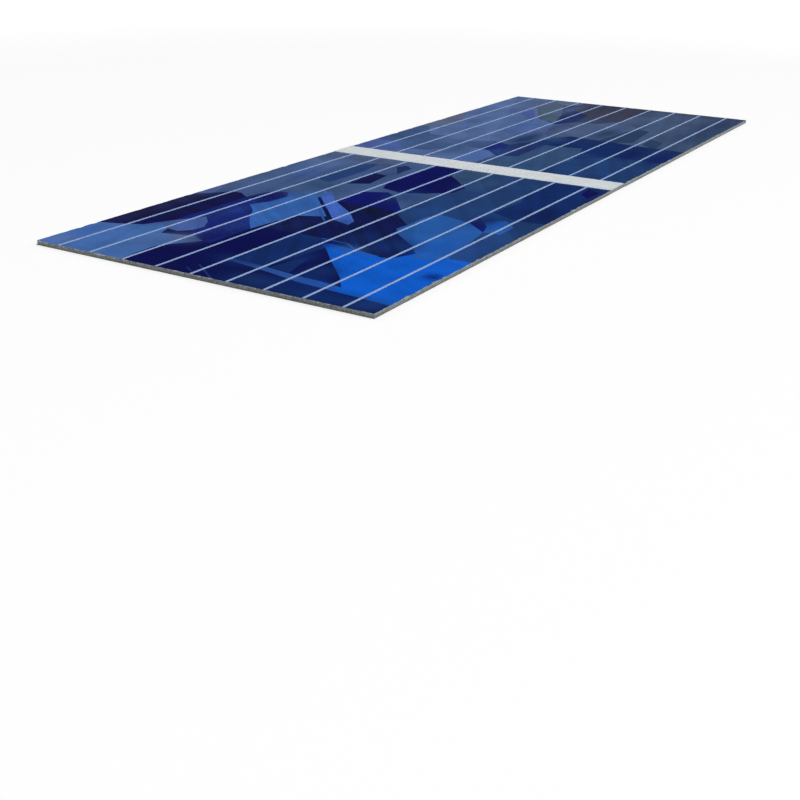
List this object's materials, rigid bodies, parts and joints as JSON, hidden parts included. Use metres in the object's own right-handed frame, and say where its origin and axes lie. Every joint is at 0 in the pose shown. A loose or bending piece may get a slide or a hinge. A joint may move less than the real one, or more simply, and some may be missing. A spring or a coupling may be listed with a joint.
{
  "type": "solar cell",
  "caption": "Small flat multicrystalline silicon solar cell with a blue mottled front, thin silver lines, a silver band across the middle and an aluminium rear.",
  "frame": {"origin": "middle of the rear face, on the surface that the cell lies on", "axes": "+X along the cell and its thin lines, +Y across it along the silver band, +Z out of the sunny side"},
  "size_m": [0.052, 0.019, 0.0002],
  "materials": {
    "coated_silicon": "silicon with a blue nitride coat, satin crystals of many blues, bare grey at the cut edges",
    "busbar_silver": "fired silver paste, white and matte",
    "finger_silver": "fired silver paste, pale grey and matte",
    "rear_silver": "fired silver paste, pale grey and matte",
    "rear_paste": "fired aluminium paste, dull grey and slightly grainy"
  },
  "bodies": {
    "root": {"wafer": "coated_silicon", "front_busbar": "busbar_silver", "finger_1": "finger_silver", "finger_2": "finger_silver", "finger_3": "finger_silver", "finger_4": "finger_silver", "finger_5": "finger_silver", "finger_6": "finger_silver", "finger_7": "finger_silver", "finger_8": "finger_silver", "finger_9": "finger_silver", "rear_contact": "rear_silver", "rear_aluminium_1": "rear_paste", "rear_aluminium_2": "rear_paste"}
  },
  "joints": []
}
